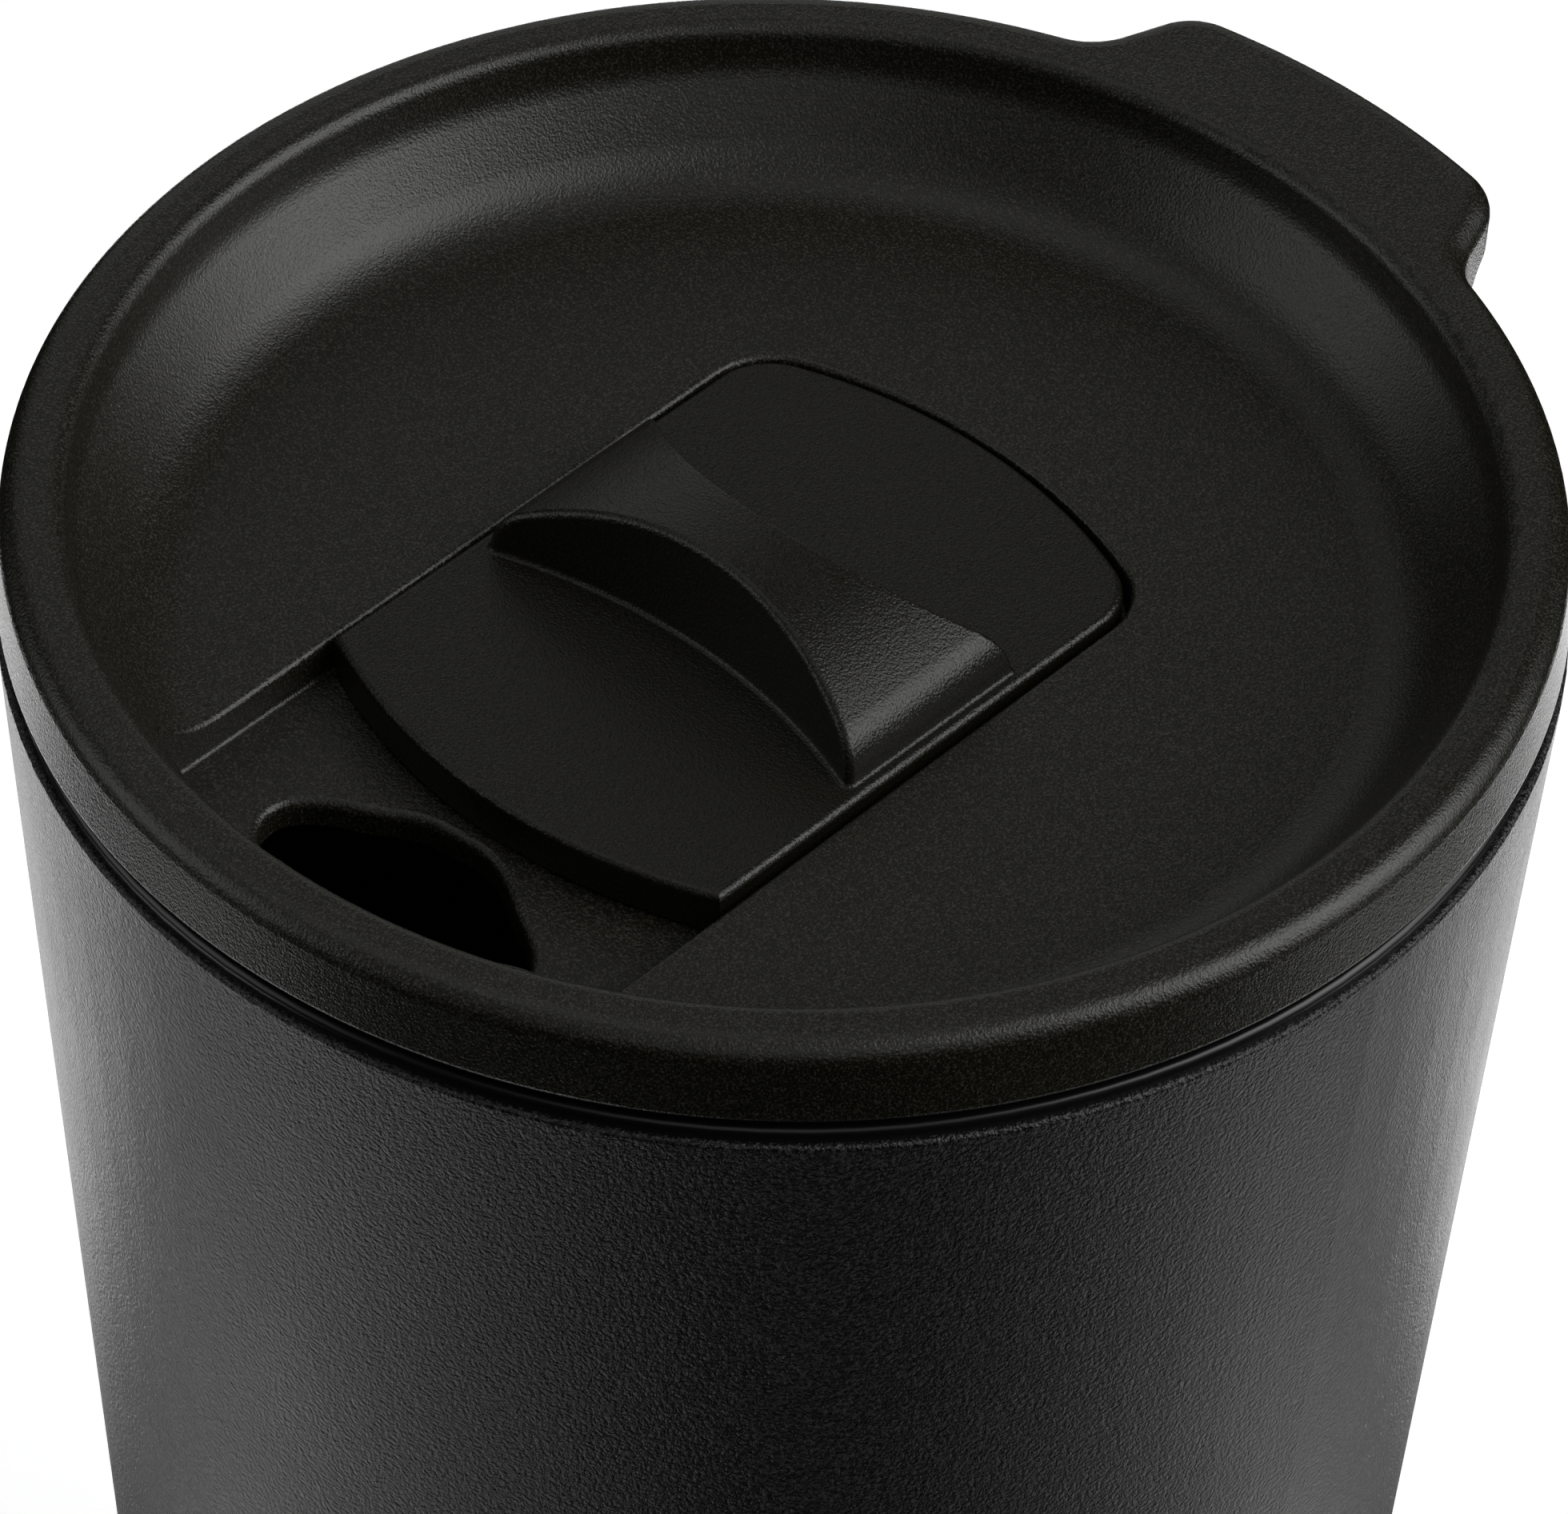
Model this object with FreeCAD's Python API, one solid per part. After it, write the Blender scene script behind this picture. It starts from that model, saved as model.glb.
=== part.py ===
"""Insulated steel travel mug with a push-fit lid and a sliding drink closure.

Frame: millimetres, +Z up, origin at the centre of the base.  -Y is the side that is
drunk from, and +Y is the side of the lid's thumb tab.  Heights of the lid's parts are
given below the lid's rim plane, which lies rim_height above the base.
"""
import FreeCAD, Part

import math
import os

Vector = FreeCAD.Vector
UP = Vector(0, 0, 1)

# ---------------------------------------------------------------- driving dimensions
rim_height = 170.0          # base to the plane that the lid's heights are measured from

# cup
mouth_radius = 44.35        # the outer cone, carried up to the rim plane
taper = 0.068               # fall of the radius for each mm down
steel = 0.7                 # outer wall
liner_steel = 0.6           # inner wall
wall_depth = 3.8            # outer surface to the drink side
shoulder_depth = 6.2        # top of the coated outer shell
lip_depth = 5.3             # top of the drinking lip
lip_radius = 43.5
foot_gap = 0.8              # the rubber foot stands this far below the shell
foot_radius = 28.6
base_corner = 3.0
cup_floor = 9.0             # height of the drink side of the cup's floor
cup_corner = 9.0
liner_flare = 2.0           # radius of the curve from the bore into the lip

# lid
flange_height = 4.4         # depth of the flange's lower edge
rim_crown = 0.7             # how far the rim's top stands above the measuring plane
rim_outer_fillet = 1.5
flange_top_radius = 43.4
flange_low_radius = 43.86
rim_inner_radius = 40.75
floor_depth = 7.0
floor_radius = 32.8
bowl_curve = 5.2            # from the floor into the bowl's slanted side
bowl_slope = math.radians(50)
bowl_top_curve = 2.5        # from the slanted side into the steep band under the rim
bowl_top_slope = math.radians(80)
bowl_top_radius, bowl_top_depth = 39.75, 0.3
lid_wall = 1.8
plug_depth = 19.0
plug_radius = 38.6
plug_inner_radius = 36.4
groove_top, groove_low = 10.0, 13.0
groove_radius = 37.5

# thumb tab
tab_reach = 49.05           # radius of the tab's outer edge
tab_side_angle = math.radians(20)
tab_side_distance = 27.3    # from the axis to each side line
tab_corner = 3.8
tab_root = 4.0
tab_thickness = 3.0

# slot in the lid and the slider in it
slot_half_width = 15.1
slot_depth = 9.2
slot_front_radius = 37.4
slot_foot_fillet = 0.3
slider_gap = 0.4
slider_top_depth = 6.3      # at the plate's front edge
slider_back_drop = 0.5      # how much lower the plate's top is at its back
slider_edge_fillet = 0.45
slider_low_depth = 8.95
slider_front_y, slider_front_corner_y = -24.0, -20.7
slider_back_y, slider_back_corner_y = 16.7, 13.15
slider_corner = 4.0
slider_travel = 11.5

# thumb grip on the slider
grip_half_width = 13.95
grip_base_depth = 6.55
grip_height = 6.2
grip_arch_radius = 25.0
grip_shoulder = 3.0
grip_foot_fillet = 0.3
grip_front_y, grip_front_corner_y = -7.1, -10.05
grip_back_y, grip_back_corner_y = -0.75, 4.7
grip_draft = 0.9            # how far each face leans in over the grip's height

# stem that holds the slider down
stem_y = -1.5
stem_half_width, stem_half_length = 2.3, 3.5
stem_clearance = 0.4


# ---------------------------------------------------------------- drawing helpers
def wire(start, *steps):
    """Closed wire of Vectors: a step is an end point, or (point on the arc, end point)."""
    edges = []
    here = start
    for step in steps + (start,):
        if isinstance(step, tuple):
            middle, end = step
            edges.append(Part.Arc(here, middle, end).toShape())
        else:
            end = step
            if here.distanceToPoint(end) > 1e-7:
                edges.append(Part.LineSegment(here, end).toShape())
        here = end
    return Part.Wire(edges)


def rz(radius, height):
    return Vector(radius, 0, height)


def quarter(centre, radius, start_angle, end_angle):
    """Arc step in the RZ plane about a centre, angles in degrees from the radial axis."""
    def at(angle):
        turn = math.radians(angle)
        return rz(centre.x + radius * math.cos(turn), centre.z + radius * math.sin(turn))
    return at((start_angle + end_angle) / 2), at(end_angle)


def revolved(outline):
    return Part.Face(outline).revolve(Vector(), UP, 360)


def prism(outline, low, high):
    """Outline drawn at z = 0, extruded between two heights."""
    solid = Part.Face(outline).extrude(Vector(0, 0, high - low))
    solid.translate(Vector(0, 0, low))
    return solid


def box(x0, x1, y0, y1, z0, z1):
    return Part.makeBox(x1 - x0, y1 - y0, z1 - z0, Vector(x0, y0, z0))


def disc(radius, low, high):
    return Part.makeCylinder(radius, high - low, Vector(0, 0, low))


def edges_near(shape, test):
    """Edges whose ends and middle all pass the test."""
    found = []
    for edge in shape.Edges:
        first, last = edge.ParameterRange
        points = [edge.valueAt(first + (last - first) * part) for part in (0, 0.5, 1)]
        if all(test(point) for point in points):
            found.append(edge)
    return found


def at_height(height, within=1e-4):
    return lambda point: abs(point.z - height) < within


def outer_radius(height):
    return mouth_radius - taper * (rim_height - height)


# ---------------------------------------------------------------- cup
def outer_shell():
    """Coated steel wall, turned in at the shoulder and rolled in at the base."""
    low, high = foot_gap, rim_height - shoulder_depth
    corner_z = low + base_corner
    corner = rz(outer_radius(corner_z) - base_corner, corner_z)
    edge = 0.3
    ring_radius = foot_radius + 0.3
    outline = wire(
        rz(ring_radius, low),
        rz(corner.x, low),
        quarter(corner, base_corner, -90, 0),
        rz(outer_radius(high - edge), high - edge),
        quarter(rz(outer_radius(high - edge) - edge, high - edge), edge, 0, 90),
        rz(lip_radius - 0.9, high),
        rz(lip_radius - 0.9, high - steel),
        rz(outer_radius(high - steel) - steel, high - steel),
        rz(outer_radius(corner_z) - steel, corner_z),
        quarter(corner, base_corner - steel, 0, -90),
        rz(ring_radius, low + steel),
    )
    return revolved(outline)


def inner_liner():
    """Steel cup for the drink, flared at the top into the rounded drinking lip."""
    lip_top, lip_low = rim_height - lip_depth, rim_height - shoulder_depth
    flare_z = lip_top - liner_flare
    bore = outer_radius(flare_z) - wall_depth
    corner_z = cup_floor + cup_corner
    corner_radius = outer_radius(corner_z) - wall_depth
    corner = rz(corner_radius - cup_corner, corner_z)
    outside_corner = cup_corner + liner_steel
    lip_edge = 0.4
    outline = wire(
        rz(0, cup_floor),
        rz(corner.x, cup_floor),
        quarter(corner, cup_corner, -90, 0),
        rz(bore, flare_z),
        quarter(rz(bore + liner_flare, flare_z), liner_flare, 180, 90),
        rz(lip_radius - lip_edge, lip_top),
        quarter(rz(lip_radius - lip_edge, lip_top - lip_edge), lip_edge, 90, 0),
        rz(lip_radius, lip_low),
        rz(bore + liner_flare + 0.1, lip_low),
        (rz(bore + liner_steel + 0.42, lip_low - 0.42), rz(bore + liner_steel, flare_z - 0.4)),
        rz(corner_radius + liner_steel, corner_z),
        quarter(corner, outside_corner, 0, -90),
        rz(0, cup_floor - liner_steel),
    )
    return revolved(outline)


def foil_wrap():
    """Thin metal foil round the liner inside the vacuum gap, which reflects heat."""
    low, high, gap, foil = 22.0, 150.0, 0.15, 0.15
    near = [outer_radius(z) - wall_depth + liner_steel + gap for z in (low, high)]
    outline = wire(rz(near[0], low), rz(near[0] + foil, low), rz(near[1] + foil, high),
                   rz(near[1], high))
    return revolved(outline)


base_plate_low = foot_gap + steel
dimple_rise = 2.6
port_radius = 0.9


def base_plate():
    """Steel disc welded into the shell, with the dimple and port of the vacuum seal."""
    low, high = base_plate_low, base_plate_low + steel
    disc_radius = outer_radius(foot_gap + base_corner) - base_corner - 0.1
    roof_radius, mouth = 5.0, 7.0
    outline = wire(
        rz(disc_radius, low),
        rz(disc_radius, high),
        rz(mouth, high),
        rz(roof_radius, high + dimple_rise),
        rz(port_radius, high + dimple_rise),
        rz(port_radius, low + dimple_rise),
        rz(roof_radius - 0.6, low + dimple_rise),
        rz(mouth - 0.6, low),
    )
    return revolved(outline)


def vacuum_seal():
    """Bead of solder glass that closes the port from below: a nub and a flat-ended drop."""
    roof = base_plate_low + dimple_rise
    outline = wire(
        rz(0, roof + steel),
        rz(port_radius, roof + steel),
        rz(port_radius, roof),
        rz(3.6, roof),
        rz(3.2, roof - 0.6),
        rz(2.2, roof - 1.0),
        rz(0, roof - 1.0),
    )
    return revolved(outline)


getter_x, getter_radius, getter_height = 14.0, 4.0, 2.0


def getter():
    """Pill under the liner's floor that takes up gas left in the vacuum gap."""
    top = cup_floor - liner_steel
    return Part.makeCylinder(getter_radius, getter_height,
                             Vector(getter_x, 0, top - getter_height))


def getter_clip():
    """Thin strap, welded at its two feet to the liner's floor, that holds the pill."""
    sheet, half_width, foot = 0.3, 3.0, 3.0
    top = cup_floor - liner_steel
    reach = getter_radius + 0.2
    under = box(getter_x - reach - sheet, getter_x + reach + sheet, -half_width, half_width,
                top - getter_height - sheet, top - getter_height)
    parts = []
    for side in (-1, 1):
        near, far = sorted((getter_x + side * reach, getter_x + side * (reach + sheet)))
        parts.append(box(near, far, -half_width, half_width, top - getter_height, top))
        near, far = sorted((getter_x + side * reach, getter_x + side * (reach + foot)))
        parts.append(box(near, far, -half_width, half_width, top - sheet, top))
    return under.multiFuse(parts).removeSplitter()


def foot_pad():
    """Rubber disc in the base, with a rounded lower edge; the cup rests on it."""
    edge = 0.4
    outline = wire(
        rz(0, 0),
        rz(foot_radius - edge, 0),
        quarter(rz(foot_radius - edge, edge), edge, -90, 0),
        rz(foot_radius, base_plate_low),
        rz(0, base_plate_low),
    )
    return revolved(outline)


# ---------------------------------------------------------------- lid (heights below the rim)
def flange_outline(flange_radius, reach, side_distance):
    """Flange circle with the thumb tab: tip arc, two corners, two sides, two root curves."""
    normal = Vector(math.cos(tab_side_angle), math.sin(tab_side_angle), 0)
    along = Vector(-math.sin(tab_side_angle), math.cos(tab_side_angle), 0)

    def curve_centre(distance, radius):
        return normal * distance + along * math.sqrt(radius ** 2 - distance ** 2)

    def mirrored(point):
        return Vector(-point.x, point.y, 0)

    def middle(centre, radius, first, last):
        chord = (first + last) * 0.5 - centre
        return centre + chord * (radius / chord.Length)

    corner = curve_centre(side_distance - tab_corner, reach - tab_corner)
    root = curve_centre(side_distance + tab_root, flange_radius + tab_root)
    on_tip = corner * (reach / corner.Length)
    side_top = corner + normal * tab_corner
    side_low = root - normal * tab_root
    on_flange = root * (flange_radius / root.Length)
    corner_mid = middle(corner, tab_corner, on_tip, side_top)
    root_mid = middle(root, tab_root, side_low, on_flange)
    return wire(
        on_flange,
        (Vector(0, -flange_radius, 0), mirrored(on_flange)),
        (mirrored(root_mid), mirrored(side_low)),
        mirrored(side_top),
        (mirrored(corner_mid), mirrored(on_tip)),
        (Vector(0, reach, 0), on_tip),
        (corner_mid, side_top),
        side_low,
        (root_mid, on_flange),
    )


def flange():
    """Rim flange and tab as one slab, rounded on top and hollowed under the tab's tip."""
    top = flange_outline(flange_top_radius, tab_reach, tab_side_distance)
    top.translate(Vector(0, 0, rim_crown))
    low = flange_outline(flange_low_radius, tab_reach - 0.3, tab_side_distance - 0.1)
    low.translate(Vector(0, 0, -flange_height))
    slab = Part.makeLoft([low, top], True, True)
    slab = slab.makeFillet(rim_outer_fillet, edges_near(slab, at_height(rim_crown)))
    under_edge = edges_near(slab, lambda p: abs(p.z + flange_height) < 1e-4
                            and abs(math.hypot(p.x, p.y) - flange_low_radius) < 1e-3)
    slab = slab.makeFillet(0.3, under_edge)
    scoop = wire(
        Vector(-20, flange_low_radius + 0.3, -flange_height - 1),
        Vector(-20, flange_low_radius + 0.3, -flange_height),
        (Vector(-20, flange_low_radius + 1.2, -tab_thickness - 0.35),
         Vector(-20, flange_low_radius + 2.6, -tab_thickness)),
        Vector(-20, tab_reach + 2, -tab_thickness + 0.3),
        Vector(-20, tab_reach + 2, -flange_height - 1),
    )
    return slab.cut(Part.Face(scoop).extrude(Vector(40, 0, 0)))


def bowl():
    """The dished hollow of the lid: floor, curve, slanted side, curve, steep band, rim."""
    low, high = bowl_slope, bowl_top_slope
    slant = rz(math.cos(low), math.sin(low))
    steep = rz(math.cos(high), math.sin(high))
    foot = quarter(rz(floor_radius, -floor_depth + bowl_curve), bowl_curve,
                   -90, math.degrees(low) - 90)
    wall_top = rz(bowl_top_radius, -bowl_top_depth)
    bend = rz(math.sin(high) - math.sin(low), math.cos(low) - math.cos(high)) * bowl_top_curve
    rest = wall_top - foot[1] - bend
    slant_length = (rest.x * steep.z - rest.z * steep.x) / (slant.x * steep.z - slant.z * steep.x)
    slant_top = foot[1] + slant * slant_length
    bend_centre = slant_top + rz(-slant.z, slant.x) * bowl_top_curve
    outline = wire(
        rz(0, -floor_depth),
        rz(floor_radius, -floor_depth),
        foot,
        slant_top,
        quarter(bend_centre, bowl_top_curve, math.degrees(low) - 90, math.degrees(high) - 90),
        wall_top,
        quarter(rz(rim_inner_radius, wall_top.z), rim_inner_radius - wall_top.x, 180, 90),
        rz(rim_inner_radius, 2),
        rz(0, 2),
    )
    return revolved(outline)


def plug():
    """Solid form of the plug that goes down into the cup, before it is hollowed."""
    neck = wire(
        rz(0, -flange_height + 0.5),
        rz(41.2, -flange_height + 0.5),
        rz(41.2, -flange_height),
        rz(39.1, -floor_depth),
        rz(plug_radius, -groove_top + 0.4),
        rz(plug_radius, -plug_depth + 1.0),
        rz(plug_radius - 0.6, -plug_depth),
        rz(0, -plug_depth),
    )
    return revolved(neck)


def plug_hollow():
    """Room inside the plug's skirt, under the lid's floor."""
    roof, edge = -floor_depth - lid_wall, 1.5
    outline = wire(
        rz(0, roof),
        rz(plug_inner_radius - edge, roof),
        quarter(rz(plug_inner_radius - edge, roof - edge), edge, 90, 0),
        rz(plug_inner_radius, -plug_depth - 1),
        rz(0, -plug_depth - 1),
    )
    return revolved(outline)


def slot_outline(grow=0.0):
    """Plan of the slider's slot: rounded back, straight sides, front along the bowl wall."""
    half = slot_half_width + grow
    front = slot_front_radius + grow
    front_y = -math.sqrt(front ** 2 - half ** 2)
    back_corner_y = slider_back_corner_y + slider_gap + grow
    return wire(
        Vector(-half, front_y, 0),
        (Vector(0, -front, 0), Vector(half, front_y, 0)),
        Vector(half, back_corner_y, 0),
        (Vector(0, slider_back_y + slider_gap + grow, 0), Vector(-half, back_corner_y, 0)),
    )


def slot(low, high, grow=0.0):
    solid = prism(slot_outline(grow), low, high)
    corners = edges_near(solid, lambda p: p.y > 0 and abs(abs(p.x) - slot_half_width - grow) < 1e-4)
    upright = [edge for edge in corners if edge.Vertexes[0].Point[2] != edge.Vertexes[1].Point[2]
               and abs(edge.Vertexes[0].Y - edge.Vertexes[1].Y) < 1e-6]
    return solid.makeFillet(slider_corner + slider_gap + grow, upright)


def drink_hole(low, high):
    """Bell-shaped hole: a small round apex, shoulders that spread, and a curved front."""
    half = [(0, -25.1), (3.0, -25.6), (5.4, -27.0), (8.0, -28.5), (9.4, -30.4), (8.9, -32.4),
            (5.0, -33.9), (0, -34.3)]
    points = [Vector(x, y, 0) for x, y in half]
    points += [Vector(-x, y, 0) for x, y in reversed(half[1:-1])]
    curve = Part.BSplineCurve()
    curve.interpolate(Points=points, PeriodicFlag=True)
    return prism(Part.Wire([curve.toShape()]), low, high)


def lid_cover():
    """Main moulding of the lid: rim, tab, bowl, slot, drink hole and plug skirt."""
    form = flange().fuse(plug()).cut(bowl()).cut(plug_hollow())
    pocket = slot(-slot_depth - lid_wall, -floor_depth - 0.5, lid_wall)
    form = form.fuse(pocket.common(disc(plug_inner_radius + 0.5, -plug_depth, 0)))
    opening = slot(-slot_depth, 2)
    foot = edges_near(opening, at_height(-slot_depth))
    form = form.cut(opening.makeFillet(slot_foot_fillet, foot))
    groove = disc(plug_radius + 2, -groove_low, -groove_top)
    form = form.cut(groove.cut(disc(groove_radius, -groove_low, -groove_top)))
    form = form.cut(drink_hole(-slot_depth - lid_wall - 1, -slot_depth + 1))
    reach = stem_half_length + stem_clearance
    half = stem_half_width + stem_clearance
    form = form.cut(box(-half, half, stem_y - slider_travel - reach, stem_y + reach,
                        -slot_depth - lid_wall - 1, -slot_depth + 1))
    form = form.removeSplitter()
    hole_rim = edges_near(form, lambda p: abs(p.z + slot_depth) < 1e-4
                          and abs(p.x) < 10.6 and -34.4 < p.y < -24.5)
    form = form.makeFillet(0.5, hole_rim)
    slot_rim = edges_near(form, lambda p: abs(p.z + floor_depth) < 1e-4
                          and abs(p.x) < slot_half_width + 0.01 and p.y < slider_back_y + 1)
    return form.makeFillet(0.4, slot_rim)


window_wall = 1.4


def lid_base():
    """Lower lid moulding: closes an insulating air space round a window for the slot."""
    low, high = -plug_depth, -plug_depth + 1.6
    roof = -floor_depth - lid_wall
    grow = lid_wall + 0.2
    floor = disc(plug_inner_radius, low, high)
    walls = slot(low, roof, grow + window_wall).common(plug_hollow())
    return floor.fuse(walls).cut(slot(low - 1, roof + 1, grow)).removeSplitter()


def lid_gasket():
    """Silicone ring in the plug's groove, with two lips that press on the liner."""
    top, low = -groove_top - 0.1, -groove_low + 0.1
    back, body = groove_radius + 0.05, plug_radius + 0.1

    def bore(height):
        return outer_radius(rim_height + height) - wall_depth

    def lip(height):
        tip = bore(height) - 0.2
        return (rz(body, height - 0.35), rz(tip - 0.15, height + 0.05),
                (rz(tip, height + 0.22), rz(tip - 0.15, height + 0.38)), rz(body, height + 0.45))

    outline = wire(rz(back, low), rz(body, low), *lip(-12.2), *lip(-10.7), rz(body, top),
                   rz(back, top))
    return revolved(outline)


# ---------------------------------------------------------------- slider (heights below the rim)
def slider_top(y):
    """Height of the plate's top, which falls gently from front to back."""
    length = slider_back_y - slider_front_y
    return -slider_top_depth - slider_back_drop * (y - slider_front_y) / length


def on_slider_top(point):
    return abs(point.z - slider_top(point.y)) < 1e-3


def slider_plate():
    half = slot_half_width - slider_gap
    outline = wire(
        Vector(-half, slider_front_corner_y, 0),
        (Vector(0, slider_front_y, 0), Vector(half, slider_front_corner_y, 0)),
        Vector(half, slider_back_corner_y, 0),
        (Vector(0, slider_back_y, 0), Vector(-half, slider_back_corner_y, 0)),
    )
    plate = prism(outline, -slider_low_depth, -slider_top_depth)
    upright = edges_near(plate, lambda p: p.y > 10 and abs(abs(p.x) - half) < 1e-4)
    upright = [edge for edge in upright if abs(edge.Vertexes[0].Y - edge.Vertexes[1].Y) < 1e-6]
    plate = plate.makeFillet(slider_corner, upright)
    edge_x = half + 1
    wedge = wire(
        Vector(-edge_x, slider_front_y, -slider_top_depth),
        Vector(-edge_x, slider_back_y + 1, -slider_top_depth + 1),
        Vector(-edge_x, slider_back_y + 1, slider_top(slider_back_y + 1)),
    )
    plate = plate.cut(Part.Face(wedge).extrude(Vector(2 * edge_x, 0, 0)))
    return plate.makeFillet(slider_edge_fillet, edges_near(plate, on_slider_top))


def grip_plan(front_y, front_corner_y, back_y, back_corner_y, height):
    half = grip_half_width + 0.5
    outline = wire(
        Vector(-half, front_corner_y, height),
        (Vector(0, front_y, height), Vector(half, front_corner_y, height)),
        Vector(half, back_corner_y, height),
        (Vector(0, back_y, height), Vector(-half, back_corner_y, height)),
    )
    return outline


def grip():
    """Arched thumb grip across the slider, hollowed in front and behind."""
    low = -grip_base_depth - 0.5
    base = -grip_base_depth
    side_height = grip_height - grip_arch_radius
    draft_in = 0.35
    wall_x = grip_half_width - draft_in
    arch_z = base + side_height + math.sqrt(grip_arch_radius ** 2 - wall_x ** 2)
    section = wire(
        Vector(-grip_half_width, 0, low),
        Vector(-wall_x, 0, arch_z),
        (Vector(0, 0, base + grip_height), Vector(wall_x, 0, arch_z)),
        Vector(grip_half_width, 0, low),
    )
    arch = Part.Face(section).extrude(Vector(0, 40, 0))
    arch.translate(Vector(0, -20, 0))
    shoulders = edges_near(arch, lambda p: abs(p.z - arch_z) < 1e-4 and abs(abs(p.x) - wall_x) < 1e-4)
    arch = arch.makeFillet(grip_shoulder, shoulders)
    top = base + grip_height + 0.5
    lean = grip_draft * (top - low) / grip_height
    plan_low = grip_plan(grip_front_y, grip_front_corner_y, grip_back_y, grip_back_corner_y, low)
    plan_top = grip_plan(grip_front_y + lean, grip_front_corner_y + lean,
                         grip_back_y - lean, grip_back_corner_y - lean, top)
    form = arch.common(Part.makeLoft([plan_low, plan_top], True, True))
    crest = edges_near(form, lambda p: p.z > base + 0.6 and p.y < -3)
    form = form.makeFillet(0.45, crest)
    back = edges_near(form, lambda p: p.z > base + 0.6 and p.y > -2.8)
    return form.makeFillet(0.25, back)


keeper_top = slot_depth + lid_wall + 0.25
keeper_thickness = 1.5
gasket_pocket = 0.6


def slider_gasket_outline(inset):
    half = slot_half_width - slider_gap - inset
    return wire(
        Vector(-half, slider_front_corner_y + inset, 0),
        (Vector(0, slider_front_y + inset, 0), Vector(half, slider_front_corner_y + inset, 0)),
        Vector(half, 9.0, 0),
        Vector(-half, 9.0, 0),
    )


def slider():
    """Slider moulding: plate, grip, gasket pocket and the barbed stem below."""
    form = slider_plate().fuse(grip())
    foot = edges_near(form, lambda p: on_slider_top(p) and abs(p.x) < grip_half_width + 0.05
                      and grip_front_corner_y - 0.1 < p.y < grip_back_corner_y + 0.1)
    form = form.makeFillet(grip_foot_fillet, foot)
    form = form.cut(prism(slider_gasket_outline(0.9), -slider_low_depth - 1,
                          -slider_low_depth + gasket_pocket))
    barb_top = -keeper_top - keeper_thickness - 0.05
    stem = box(-stem_half_width, stem_half_width, stem_y - stem_half_length,
               stem_y + stem_half_length, barb_top - 1.2, -slider_low_depth + gasket_pocket + 0.3)
    barb = wire(
        Vector(-stem_half_width - 0.6, 0, barb_top),
        Vector(stem_half_width + 0.6, 0, barb_top),
        Vector(stem_half_width - 0.2, 0, barb_top - 1.2),
        Vector(-stem_half_width + 0.2, 0, barb_top - 1.2),
    )
    barb = Part.Face(barb).extrude(Vector(0, 4.0, 0))
    barb.translate(Vector(0, stem_y - 2.0, 0))
    return form.fuse(stem).fuse(barb).removeSplitter()


def slider_gasket():
    """Silicone pad under the plate that wipes the slot's floor and closes the hole."""
    pad = prism(slider_gasket_outline(0.95), -slot_depth + 0.05, -slider_low_depth + gasket_pocket)
    hole = box(-stem_half_width, stem_half_width, stem_y - stem_half_length,
               stem_y + stem_half_length, -slot_depth - 1, -floor_depth)
    return pad.cut(hole)


def slider_keeper():
    """Plate snapped onto the stem below the slot, which holds the slider down."""
    half_x, half_y = 9.0, 7.0
    plate = box(-half_x, half_x, stem_y - half_y, stem_y + half_y,
                -keeper_top - keeper_thickness, -keeper_top)
    upright = edges_near(plate, lambda p: abs(abs(p.x) - half_x) < 1e-4
                         and abs(abs(p.y - stem_y) - half_y) < 1e-4)
    plate = plate.makeFillet(2.0, upright)
    return plate.cut(box(-stem_half_width, stem_half_width, stem_y - stem_half_length,
                         stem_y + stem_half_length, -keeper_top - 5, -keeper_top + 1))


# ---------------------------------------------------------------- writing the parts
CUP_PARTS = [outer_shell, inner_liner, foil_wrap, base_plate, vacuum_seal, getter,
             getter_clip, foot_pad]
LID_PARTS = [lid_cover, lid_base, lid_gasket, slider, slider_gasket, slider_keeper]


def write(make, lift):
    shape = make()
    shape.translate(Vector(0, 0, lift))
    if not shape.isValid() or not shape.Solids:
        raise ValueError(make.__name__ + " is not a valid solid")
    shape.exportStep(os.path.join("parts", make.__name__ + ".step"))
    print(make.__name__, len(shape.Solids), round(shape.Volume, 1))


os.makedirs("parts", exist_ok=True)
for make in CUP_PARTS:
    write(make, 0)
for make in LID_PARTS:
    write(make, rim_height)
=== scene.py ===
import math

import bpy
import numpy as np
from mathutils import Matrix, Vector


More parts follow.
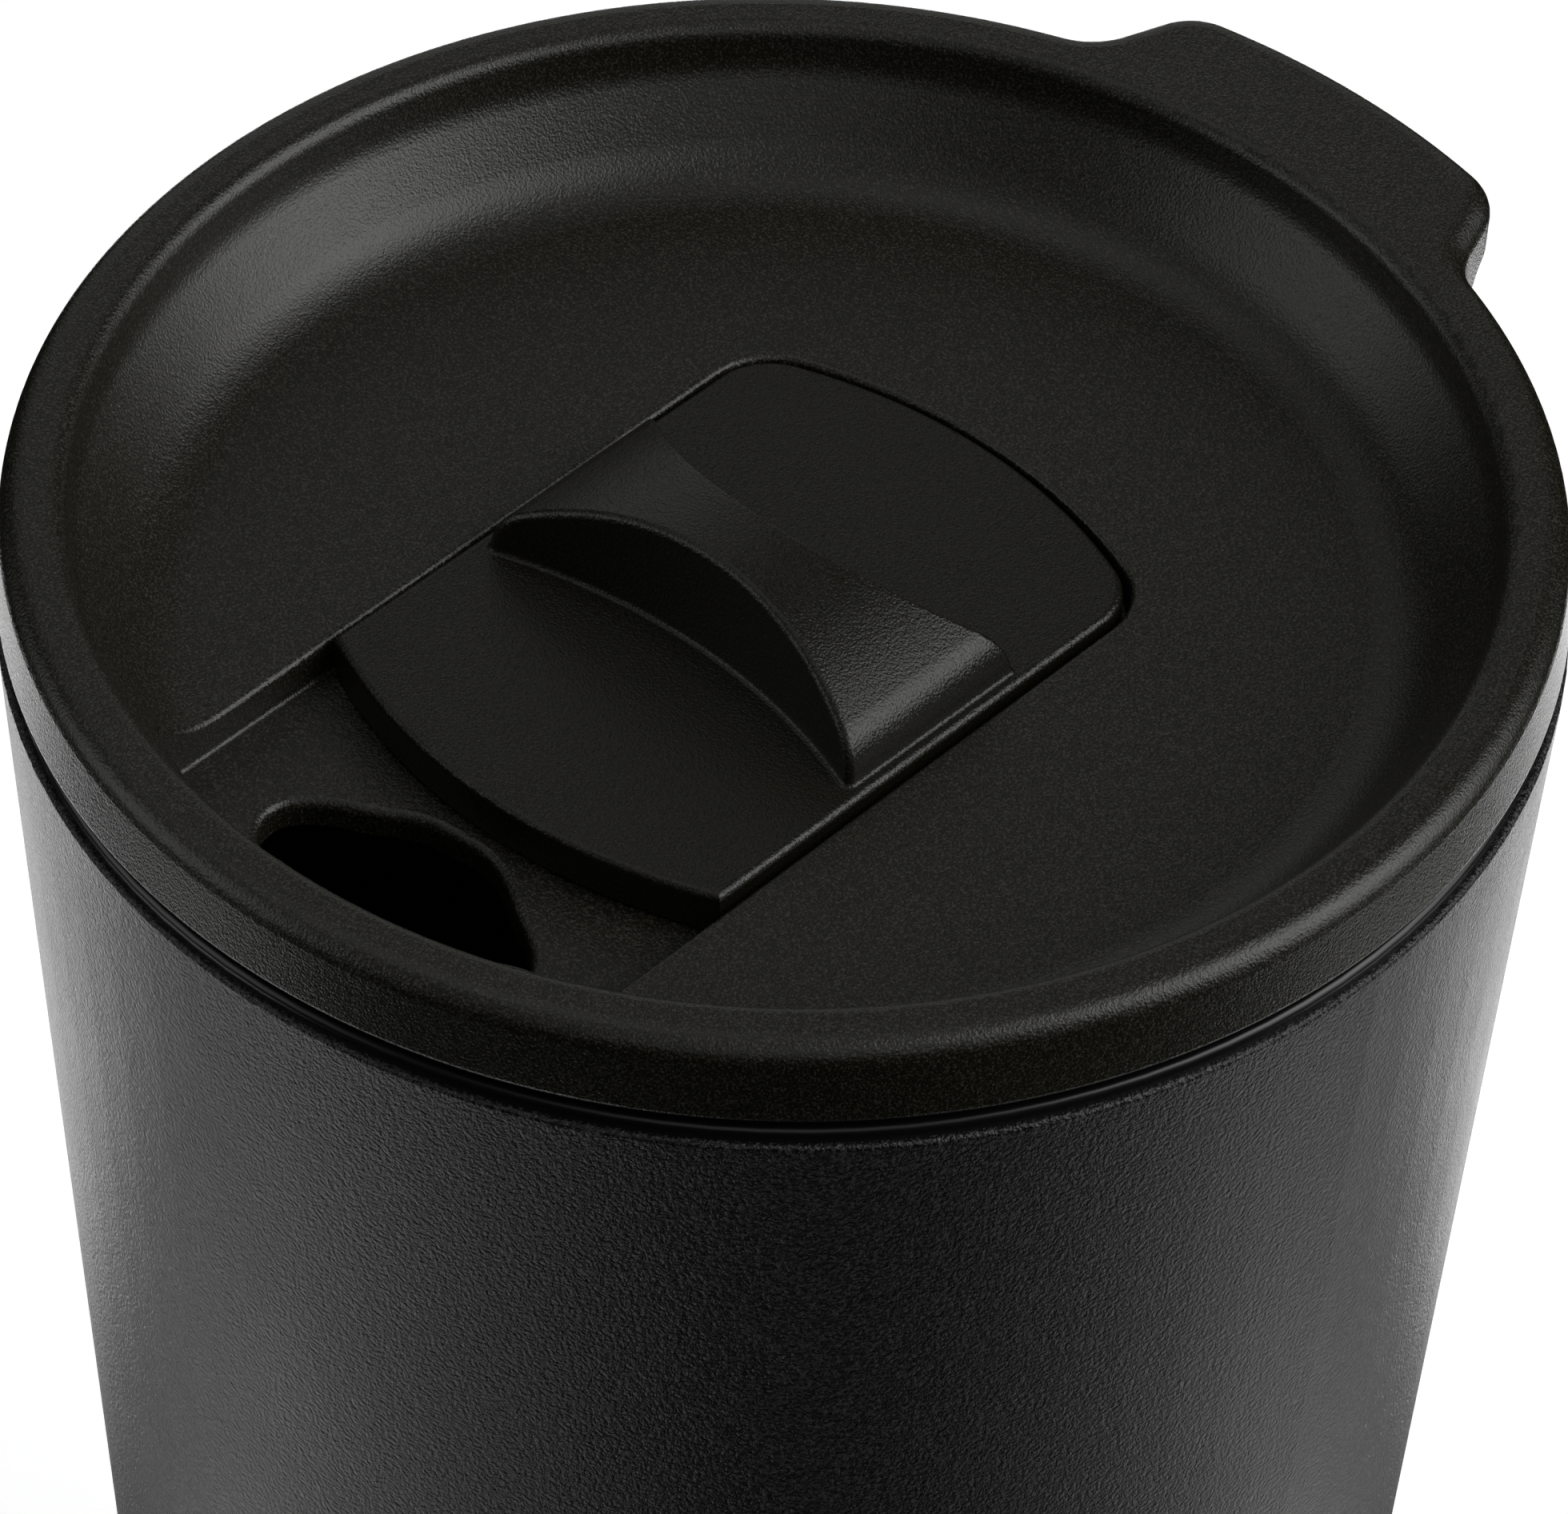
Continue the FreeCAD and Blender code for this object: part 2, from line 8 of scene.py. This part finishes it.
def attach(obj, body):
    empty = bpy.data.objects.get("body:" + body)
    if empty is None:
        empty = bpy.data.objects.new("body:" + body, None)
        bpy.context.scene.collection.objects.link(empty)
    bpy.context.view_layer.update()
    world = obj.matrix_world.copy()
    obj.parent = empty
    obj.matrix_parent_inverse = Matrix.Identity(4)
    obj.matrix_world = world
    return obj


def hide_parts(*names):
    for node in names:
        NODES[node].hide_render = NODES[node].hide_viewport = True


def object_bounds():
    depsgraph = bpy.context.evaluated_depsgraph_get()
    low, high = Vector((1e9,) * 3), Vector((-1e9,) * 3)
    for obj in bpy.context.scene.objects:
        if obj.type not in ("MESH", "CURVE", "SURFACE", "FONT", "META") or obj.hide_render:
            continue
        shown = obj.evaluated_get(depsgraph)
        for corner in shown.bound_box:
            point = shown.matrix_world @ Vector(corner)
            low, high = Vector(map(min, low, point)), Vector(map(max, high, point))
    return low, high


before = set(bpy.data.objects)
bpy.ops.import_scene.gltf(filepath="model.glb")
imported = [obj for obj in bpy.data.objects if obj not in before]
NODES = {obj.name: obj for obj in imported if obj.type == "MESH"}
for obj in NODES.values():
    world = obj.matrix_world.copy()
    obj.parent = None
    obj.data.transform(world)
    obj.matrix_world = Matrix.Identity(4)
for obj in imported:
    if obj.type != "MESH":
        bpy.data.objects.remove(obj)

CAD_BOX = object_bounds()


# ---- small helpers -----------------------------------------------------------------------------

def direction(azimuth, elevation):
    """Unit vector towards a point seen at that azimuth and elevation. Azimuth 0 is -Y, 90 is +X."""
    a, e = math.radians(azimuth), math.radians(elevation)
    return Vector((math.sin(a) * math.cos(e), -math.cos(a) * math.cos(e), math.sin(e)))


class Graph:
    """A node tree that is written as plain calls: each call makes one node and gives its output."""

    def __init__(self, tree):
        self.tree = tree
        tree.nodes.clear()

    def put(self, socket, value):
        if isinstance(value, bpy.types.NodeSocket):
            self.tree.links.new(value, socket)
        elif value is not None:
            socket.default_value = value

    def node(self, kind, out=0, inputs=None, **settings):
        made = self.tree.nodes.new(kind)
        for key, value in settings.items():
            setattr(made, key, value)
        for key, value in (inputs or {}).items():
            self.put(made.inputs[key], value)
        return made.outputs[out] if made.outputs else made

    def point(self):
        return self.node("ShaderNodeTexCoord", "Object")

    def split(self, vector):
        made = self.tree.nodes.new("ShaderNodeSeparateXYZ")
        self.put(made.inputs[0], vector)
        return made.outputs

    def join(self, x, y, z):
        return self.node("ShaderNodeCombineXYZ", inputs={0: x, 1: y, 2: z})

    def math(self, operation, a, b=None):
        return self.node("ShaderNodeMath", operation=operation, inputs={0: a, 1: b})

    def scaled(self, value, factor):
        return self.math("MULTIPLY", value, factor)

    def from_axis(self, x, y):
        """Distance from the mug's axis."""
        squares = self.math("ADD", self.math("MULTIPLY", x, x), self.math("MULTIPLY", y, y))
        return self.math("SQRT", squares)

    def ramp(self, value, low, high, to_low=0.0, to_high=1.0):
        """Runs straight from to_low to to_high while value runs from low to high."""
        return self.node("ShaderNodeMapRange", inputs={
            "Value": value, "From Min": low, "From Max": high, "To Min": to_low, "To Max": to_high})

    def noise(self, vector, size, detail=2.0, roughness=0.5, distortion=0.0):
        """Noise from 0 to 1 whose grain is about size metres across."""
        return self.node("ShaderNodeTexNoise", "Fac", {
            "Vector": vector, "Scale": 1 / size, "Detail": detail, "Roughness": roughness,
            "Distortion": distortion})

    def cells(self, vector, size, feature="F1"):
        """Distance within cells about size metres across."""
        return self.node("ShaderNodeTexVoronoi", "Distance", {"Vector": vector, "Scale": 1 / size},
                         feature=feature)

    def blend(self, factor, a, b):
        """Colour a where factor is 0, b where it is 1."""
        made = self.tree.nodes.new("ShaderNodeMix")
        made.data_type = "RGBA"
        for index, value in ((0, factor), (6, a), (7, b)):
            self.put(made.inputs[index], value)
        return made.outputs[2]

    def bump(self, height, depth):
        """Height from 0 to 1 that stands depth metres proud."""
        return self.node("ShaderNodeBump", inputs={
            "Height": height, "Distance": depth, "Strength": 1.0})


def grey(value, warmth=0.0):
    """A grey whose red is raised and blue lowered by the fraction warmth."""
    return (value * (1 + warmth), value, value * (1 - warmth), 1.0)


def finish_of(name, build, **constants):
    """A material whose Principled shader takes constants directly and links from build(graph)."""
    material = bpy.data.materials.new(name)
    material.use_nodes = True
    graph = Graph(material.node_tree)
    shader = graph.tree.nodes.new("ShaderNodeBsdfPrincipled")
    for key, value in constants.items():
        shader.inputs[key.replace("_", " ")].default_value = value
    for key, value in build(graph).items():
        graph.put(shader.inputs[key], value)
    graph.node("ShaderNodeOutputMaterial", inputs={"Surface": shader.outputs[0]})
    return material


# ---- finishes ----------------------------------------------------------------------------------
# Each gives its Principled shader's varying inputs. Sizes and depths of relief are in metres.

def powder_coat(g):
    """Black textured powder coat: fine orange peel whose peaks are coloured paler, a painted
    highlight standing in for glints.
    """
    peel_size, grain_size, patch_size, relief = 0.00026, 0.00012, 0.012, 0.00018
    p = g.point()
    peel = g.noise(p, peel_size, detail=1.5, roughness=0.45)
    grain = g.noise(p, grain_size, detail=1.0)
    patches = g.noise(p, patch_size, detail=3.0)
    height = g.math("ADD", g.scaled(peel, 0.65), g.scaled(grain, 0.35))
    # Painted highlight: where the peel stands highest its colour is made paler, as if it caught the
    # light.
    painted_glint_tops = g.ramp(height, 0.50, 0.62)
    return {
        "Base Color": g.blend(painted_glint_tops, grey(0.002), grey(0.040)),
        "Roughness": g.ramp(g.math("ADD", peel, g.scaled(patches, 0.4)), 0.4, 1.0, 0.35, 0.45),
        "Normal": g.bump(height, relief),
    }


def moulded(grain_size, grain_depth, rough, painted_glints=1.0):
    """Spark-eroded black plastic: a fine grain whose peaks are coloured paler and slightly warm, a
    painted highlight standing in for glints.
    """
    facet_size, drift_size = grain_size * 1.6, 0.009
    dark = (0.0060, 0.0055, 0.0025, 1.0)
    # The pale colour, scaled by the last argument, is a painted highlight on the grain's peaks.
    pale = (0.050 * painted_glints, 0.047 * painted_glints, 0.037 * painted_glints, 1.0)

    def build(g):
        p = g.point()
        grain = g.noise(p, grain_size, detail=1.0, roughness=0.6)
        facets = g.cells(p, facet_size)
        drift = g.noise(p, drift_size, detail=3.0)
        height = g.math("ADD", g.scaled(grain, 0.7), g.scaled(facets, 0.3))
        return {
            # Painted highlight: the grain's peaks take the pale colour.
            "Base Color": g.blend(g.ramp(grain, 0.50, 0.72), dark, pale),
            "Roughness": g.ramp(g.math("ADD", grain, g.scaled(drift, 0.5)),
                                0.5, 1.1, rough - 0.04, rough + 0.06),
            "Normal": g.bump(height, grain_depth),
        }
    return build


def spun_steel(g):
    """Stainless steel turned on a lathe: fine rings round Z, fainter marks along them."""
    line_size, smear_size, relief = 0.00022, 0.014, 0.000006
    metres_a_radian = 0.0015        # small, so that the marks are drawn out round the axis
    x, y, z = g.split(g.point())
    turn = g.math("ARCTAN2", y, x)
    track = g.join(g.scaled(turn, metres_a_radian), g.from_axis(x, y), z)
    lines = g.noise(track, line_size, detail=4.0, roughness=0.65)
    smears = g.noise(g.point(), smear_size, detail=3.0)
    return {
        "Base Color": g.blend(smears, grey(0.50, 0.015), grey(0.60, 0.01)),
        "Roughness": g.ramp(g.math("ADD", lines, g.scaled(smears, 0.6)), 0.5, 1.1, 0.24, 0.40),
        "Normal": g.bump(lines, relief),
    }


def liner(g):
    """Spun steel, with the black coat carried up over the outside of the lip."""
    bare_radius, coated_radius = 0.0414, 0.0417
    bare_height, coated_height = 0.150, 0.1505
    x, y, z = g.split(g.point())
    outside = g.ramp(g.from_axis(x, y), bare_radius, coated_radius)
    near_lip = g.ramp(z, bare_height, coated_height)
    coat = g.math("MULTIPLY", outside, near_lip)
    steel = spun_steel(g)
    return {
        "Base Color": g.blend(coat, steel["Base Color"], grey(0.006)),
        "Metallic": g.math("SUBTRACT", 1.0, coat),
        "Roughness": g.ramp(coat, 0.0, 1.0, steel["Roughness"], 0.3),
        "Normal": steel["Normal"],
    }


def rubber(g):
    """Black rubber with paler dust on it."""
    dust_size, grain_size, relief = 0.0022, 0.00025, 0.00003
    p = g.point()
    dust = g.noise(p, dust_size, detail=4.0)
    grain = g.noise(p, grain_size, detail=2.0)
    return {
        "Base Color": g.blend(g.ramp(dust, 0.45, 0.7), grey(0.010), grey(0.022, 0.03)),
        "Roughness": g.ramp(grain, 0.3, 0.7, 0.62, 0.78),
        "Normal": g.bump(grain, relief),
    }


def silicone(g):
    """Black silicone with a faint bloom."""
    bloom_size, grain_size, relief = 0.0035, 0.0003, 0.000008
    p = g.point()
    bloom = g.noise(p, bloom_size, detail=4.0)
    grain = g.noise(p, grain_size, detail=2.0)
    return {
        "Base Color": g.blend(g.ramp(bloom, 0.4, 0.75), grey(0.016), grey(0.026)),
        "Roughness": g.ramp(bloom, 0.3, 0.7, 0.38, 0.5),
        "Normal": g.bump(grain, relief),
    }


def copper_foil(g):
    """Crumpled foil: bright flats between creases that wander, with painted shade that darkens the
    colour along the creases.
    """
    wander_size, wander_reach, flat_size, relief = 1 / 180, 0.004, 0.007, 0.00012
    p = g.point()
    stray = g.node("ShaderNodeTexNoise", "Color", {"Vector": p, "Scale": 1 / wander_size})
    shift = g.node("ShaderNodeVectorMath", operation="SCALE", inputs={0: stray, 3: wander_reach})
    shifted = g.node("ShaderNodeVectorMath", operation="ADD", inputs={0: p, 1: shift})
    creases = g.cells(shifted, flat_size, feature="DISTANCE_TO_EDGE")
    crease_relief_and_shade = g.ramp(creases, 0.0, 0.12)
    return {
        # Painted shade: the colour is darker along the creases and paler on the flats.
        "Base Color": g.blend(crease_relief_and_shade, (0.55, 0.27, 0.16, 1), (0.86, 0.46, 0.30, 1)),
        "Roughness": g.ramp(crease_relief_and_shade, 0.0, 1.0, 0.34, 0.2),
        "Normal": g.bump(crease_relief_and_shade, relief),
    }


def seal_glass(g):
    """Brown solder glass, swirled where it flowed."""
    swirl_size, relief = 0.0012, 0.00003
    swirl = g.noise(g.point(), swirl_size, detail=3.0, distortion=1.2)
    return {
        "Base Color": g.blend(swirl, (0.10, 0.075, 0.05, 1), (0.22, 0.18, 0.13, 1)),
        "Roughness": g.ramp(swirl, 0.3, 0.7, 0.10, 0.22),
        "Normal": g.bump(swirl, relief),
    }


def sintered(g):
    """Pressed metal powder, dark grey and porous."""
    pore_size, tone_size, relief = 0.00035, 0.001, 0.00006
    p = g.point()
    pores = g.cells(p, pore_size)
    tone = g.noise(p, tone_size, detail=4.0)
    return {
        "Base Color": g.blend(tone, grey(0.10, 0.03), grey(0.20, 0.02)),
        "Roughness": g.ramp(pores, 0.0, 0.6, 0.75, 0.5),
        "Normal": g.bump(pores, relief),
    }


FINISHES = {
    "outer_shell": finish_of("powder_coat", powder_coat),
    "inner_liner": finish_of("liner_steel", liner),
    "foil_wrap": finish_of("foil", copper_foil, Metallic=1.0),
    "base_plate": finish_of("base_steel", spun_steel, Metallic=1.0),
    "getter_clip": finish_of("clip_steel", spun_steel, Metallic=1.0),
    "vacuum_seal": finish_of("seal_glass", seal_glass, IOR=1.6),
    "getter": finish_of("getter_alloy", sintered, Metallic=0.6),
    "foot_pad": finish_of("foot_rubber", rubber),
    # The last number given to each moulded finish sets the strength of its painted highlight.
    "lid_cover": finish_of("lid_plastic", moulded(0.00014, 0.000050, 0.33, painted_glints=0.85)),
    "lid_base": finish_of("lid_base_plastic", moulded(0.00020, 0.000014, 0.42)),
    "slider": finish_of("slider_plastic", moulded(0.00013, 0.000055, 0.27, painted_glints=0.25),
                        Specular_IOR_Level=0.42),
    "lid_gasket": finish_of("silicone", silicone),
}
FINISHES["slider_gasket"] = FINISHES["lid_gasket"]
FINISHES["slider_keeper"] = FINISHES["lid_base"]

for node, finish in FINISHES.items():
    for material_slot in NODES[node].material_slots:
        material_slot.material = finish


# ---- smoother copies of the pieces whose facets show -------------------------------------------

FLAT_ENOUGH = 0.000003      # an edge is split where its curve would stand further off it than this
SHORTEST = 1e-12            # a vector no longer than this has no direction
PULL_TO_MIDDLE = 0.02       # keeps a split point on its edge's middle where no curve moves it
WELD_DIGITS = 8             # vertices that are the same to this many decimals of a metre are one
NEXT_CORNER = [1, 2, 0]
# Ways to cut a triangle with corners 0, 1, 2 once some of its sides' middles 3, 4, 5 are in use.
# The key adds 1, 2 and 4 for the middles 3, 4 and 5.
CUTS = {
    0: ((0, 1, 2),),
    1: ((0, 3, 2), (3, 1, 2)),
    2: ((0, 1, 4), (0, 4, 2)),
    4: ((0, 1, 5), (5, 1, 2)),
    3: ((3, 1, 4), (0, 3, 4), (0, 4, 2)),
    6: ((4, 2, 5), (0, 1, 4), (0, 4, 5)),
    5: ((0, 3, 5), (3, 1, 2), (3, 2, 5)),
    7: ((0, 3, 5), (3, 1, 4), (4, 2, 5), (3, 4, 5)),
}


def unit(vectors):
    return vectors / np.maximum(np.linalg.norm(vectors, axis=-1, keepdims=True), SHORTEST)


def refined(points, faces, normals):
    """Splits curved edges of a triangle mesh at a middle set out to the curve.

    The curve comes from the normals at the edge's ends. normals holds one for each face's corner,
    so that a sharp edge stays sharp: its middle meets the curves of both faces.
    """
    ends = np.sort(np.stack([faces, faces[:, NEXT_CORNER]], -1).reshape(-1, 2), axis=1)
    edges, edge_of = np.unique(ends, axis=0, return_inverse=True)
    edge_of = edge_of.ravel()
    chord = points[faces[:, NEXT_CORNER]] - points[faces]
    first, last = normals, normals[:, NEXT_CORNER]
    middle_normal = unit(first + last)
    bulge = ((chord * last).sum(-1, keepdims=True) * last
             - (chord * first).sum(-1, keepdims=True) * first) / 8
    n = middle_normal.reshape(-1, 3)
    height = (n * bulge.reshape(-1, 3)).sum(-1, keepdims=True)
    pull = np.zeros((len(edges), 3, 3)) + PULL_TO_MIDDLE * np.eye(3)
    aim = np.zeros((len(edges), 3))
    np.add.at(pull, edge_of, n[:, :, None] * n[:, None, :])
    np.add.at(aim, edge_of, n * height)
    offset = np.linalg.solve(pull, aim[:, :, None])[:, :, 0]
    curved = np.linalg.norm(offset, axis=1) > FLAT_ENOUGH
    number = np.cumsum(curved) - 1 + len(points)
    middles = points[edges[curved]].mean(axis=1) + offset[curved]
    split = curved[edge_of].reshape(-1, 3)
    corners = np.hstack([faces, number[edge_of].reshape(-1, 3)])
    directions = np.concatenate([normals, middle_normal], axis=1)
    key = split @ (1, 2, 4)
    new_faces, new_normals = [], []
    for case, triangles in CUTS.items():
        for triangle in triangles:
            new_faces.append(corners[key == case][:, triangle])
            new_normals.append(directions[key == case][:, triangle])
    return np.vstack([points, middles]), np.vstack(new_faces), np.vstack(new_normals)


def read_values(collection, name, width, kind=float):
    """One property of every item of a mesh's collection, as an array of rows width values long."""
    values = np.empty(len(collection) * width, kind)
    collection.foreach_get(name, values)
    return values.reshape(-1, width)


def triangles_of(source):
    """An object's welded points, its triangles and their corners' normals, in the world's frame."""
    mesh = source.data
    mesh.calc_loop_triangles()
    loops = read_values(mesh.loop_triangles, "loops", 3, np.int64)
    vertex_of = read_values(mesh.loops, "vertex_index", 1, np.int64).ravel()
    world = np.array(source.matrix_world)
    places = read_values(mesh.vertices, "co", 3) @ world[:3, :3].T + world[:3, 3]
    directions = unit(read_values(mesh.corner_normals, "vector", 3) @ world[:3, :3].T)
    _, keep, welded = np.unique(places.round(WELD_DIGITS), axis=0, return_index=True,
                                return_inverse=True)
    faces = welded.ravel()[vertex_of[loops]]
    normals = directions[loops]
    whole = (faces != faces[:, NEXT_CORNER]).all(axis=1)
    return places[keep], faces[whole], normals[whole]


def smooth_copy(node, body, passes):
    """A copy of a CAD node's mesh with finer facets, which stands for the node."""
    points, faces, normals = triangles_of(NODES[node])
    for _ in range(passes):
        points, faces, normals = refined(points, faces, normals)
    copy = bpy.data.meshes.new(node + "_smooth")
    copy.from_pydata(points.tolist(), [], faces.tolist())
    copy.polygons.foreach_set("use_smooth", [True] * len(faces))
    copy.normals_split_custom_set(normals.reshape(-1, 3).tolist())
    copy.materials.append(FINISHES[node])
    piece = bpy.data.objects.new(node + "_smooth", copy)
    bpy.context.scene.collection.objects.link(piece)
    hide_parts(node)
    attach(piece, body)


smooth_copy("lid_cover", "lid", passes=2)
smooth_copy("slider", "slider", passes=2)


# ---- floor and light ---------------------------------------------------------------------------

FLOOR_RADIUS, FLOOR_SIDES = 30.0, 64
FLOOR_DROP = 0.00005        # keeps the floor's face clear of the foot pad's
FLOOR_GLOW = 0.55           # emission strength
BACKDROP = 1.2              # brightness of the world where the camera sees it
GLOW_HEIGHT = 0.001         # of the lit patches of table above the mug's foot


def make_floor():
    """A round white floor that glows a little and throws no light or shadow on the mug."""
    mesh = bpy.data.meshes.new("floor")
    turns = [math.tau * k / FLOOR_SIDES for k in range(FLOOR_SIDES)]
    corners = [(FLOOR_RADIUS * math.cos(t), FLOOR_RADIUS * math.sin(t), 0.0) for t in turns]
    mesh.from_pydata(corners, [], [range(FLOOR_SIDES)])
    floor = bpy.data.objects.new("floor", mesh)
    floor.location.z = CAD_BOX[0].z - FLOOR_DROP
    bpy.context.scene.collection.objects.link(floor)

    def build(g):
        tone_size = 0.4
        tone = g.noise(g.point(), tone_size, detail=2.0)
        return {"Base Color": g.blend(tone, grey(0.84), grey(0.88)),
                "Roughness": g.ramp(tone, 0.0, 1.0, 0.85, 0.95)}

    mesh.materials.append(finish_of("pale_floor", build, Emission_Color=grey(1.0),
                                    Emission_Strength=FLOOR_GLOW))
    floor.visible_glossy = floor.visible_diffuse = floor.visible_shadow = False


# Soft boxes round the mug: azimuth, elevation, how far the glow reaches (degrees), strength.
SOFT_BOXES = (
    (122, 42, 32, 3.4),    # the key, to the camera's right and above
    (128, 12, 30, 1.9),    # its lower half
    (45, 45, 32, 0.5),     # weak front bounce
    (-45, 15, 32, 1.2),    # fill from the left
    (-90, 70, 32, 0.6),    # overhead, left
    (225, 15, 32, 0.45),   # behind
)
# Patches of lit white table: azimuth, distance from the mug's axis, width (metres), brightness.
# The table between the mug and the camera is left dark.
TABLE_GLOWS = (
    (225, 0.32, 0.20, 6.0),
    (180, 0.18, 0.12, 3.0),
    (270, 0.18, 0.12, 2.6),
    (135, 0.18, 0.12, 1.1),
    (135, 0.10, 0.07, 1.3),
    (315, 0.18, 0.12, 1.3),
    (315, 0.10, 0.07, 1.3),
    (0, 0.10, 0.07, 1.2),
    (90, 0.10, 0.07, 0.5),
)


def make_world():
    """Soft boxes as glows on the world. The camera sees an even white instead."""
    world = bpy.data.worlds.new("studio")
    bpy.context.scene.world = world
    world.use_nodes = True
    g = Graph(world.node_tree)
    toward = g.node("ShaderNodeTexCoord", "Generated")
    total = 0.0
    for azimuth, elevation, reach, strength in SOFT_BOXES:
        facing = g.node("ShaderNodeVectorMath", "Value", operation="DOT_PRODUCT", inputs={
            0: toward, 1: direction(azimuth, elevation)})
        total = g.math("ADD", g.ramp(facing, math.cos(math.radians(reach)), 1.0, 0.0, strength),
                       total)
    seen = g.node("ShaderNodeLightPath", "Is Camera Ray")
    backdrop = g.ramp(seen, 0.0, 1.0, total, BACKDROP)
    background = g.node("ShaderNodeBackground", inputs={"Color": grey(1.0), "Strength": backdrop})
    g.node("ShaderNodeOutputWorld", inputs={"Surface": background})


def make_table_glows():
    """Disc lights that shine up at the mug. Their power is brightness times pi times area."""
    table = Vector((0, 0, CAD_BOX[0].z + GLOW_HEIGHT))
    for azimuth, distance, width, brightness in TABLE_GLOWS:
        data = bpy.data.lights.new("table_glow", "AREA")
        data.shape, data.size = "DISK", width
        data.energy = brightness * math.pi * math.pi * (width / 2) ** 2
        glow = bpy.data.objects.new("table_glow", data)
        glow.location = direction(azimuth, 0) * distance + table
        glow.rotation_euler = (math.pi, 0, 0)
        glow.visible_camera = False
        bpy.context.scene.collection.objects.link(glow)


# ---- camera ------------------------------------------------------------------------------------

RIM_CROWN = 0.0007          # the rim's top stands this far above the plane the camera is set from
# The camera's direction from the centre of that plane, and its roll, in degrees.
CAMERA_AZIMUTH, CAMERA_ELEVATION, CAMERA_ROLL = 41.68, 43.95, 1.99
# How far it stands back from that centre, and down and left in its own view, in metres.
CAMERA_BACK, CAMERA_DOWN, CAMERA_LEFT = 0.528, 0.01437, 0.00010
SENSOR_WIDTH, LENS = 36.0, 218.97       # millimetres
NEAREST, FURTHEST = 0.05, 100.0         # what the camera sees, in metres


def make_camera():
    """A long lens that looks down at the lid from the side that is drunk from, slightly rolled."""
    back = direction(CAMERA_AZIMUTH, CAMERA_ELEVATION)
    side, roll = math.radians(CAMERA_AZIMUTH), math.radians(CAMERA_ROLL)
    level = Vector((math.cos(side), math.sin(side), 0))
    right = level * math.cos(roll) + back.cross(level) * math.sin(roll)
    up = back.cross(right)
    rim = Vector((0, 0, CAD_BOX[1].z - RIM_CROWN))
    place = rim - CAMERA_DOWN * up - CAMERA_LEFT * right + CAMERA_BACK * back
    data = bpy.data.cameras.new("camera")
    data.sensor_fit, data.sensor_width, data.lens = "HORIZONTAL", SENSOR_WIDTH, LENS
    data.clip_start, data.clip_end = NEAREST, FURTHEST
    camera = bpy.data.objects.new("camera", data)
    camera.matrix_world = Matrix((
        (right.x, up.x, back.x, place.x), (right.y, up.y, back.y, place.y),
        (right.z, up.z, back.z, place.z), (0, 0, 0, 1)))
    bpy.context.scene.collection.objects.link(camera)
    bpy.context.scene.camera = camera


make_floor()
make_world()
make_table_glows()
make_camera()
bpy.context.scene.view_settings.view_transform = "Standard"
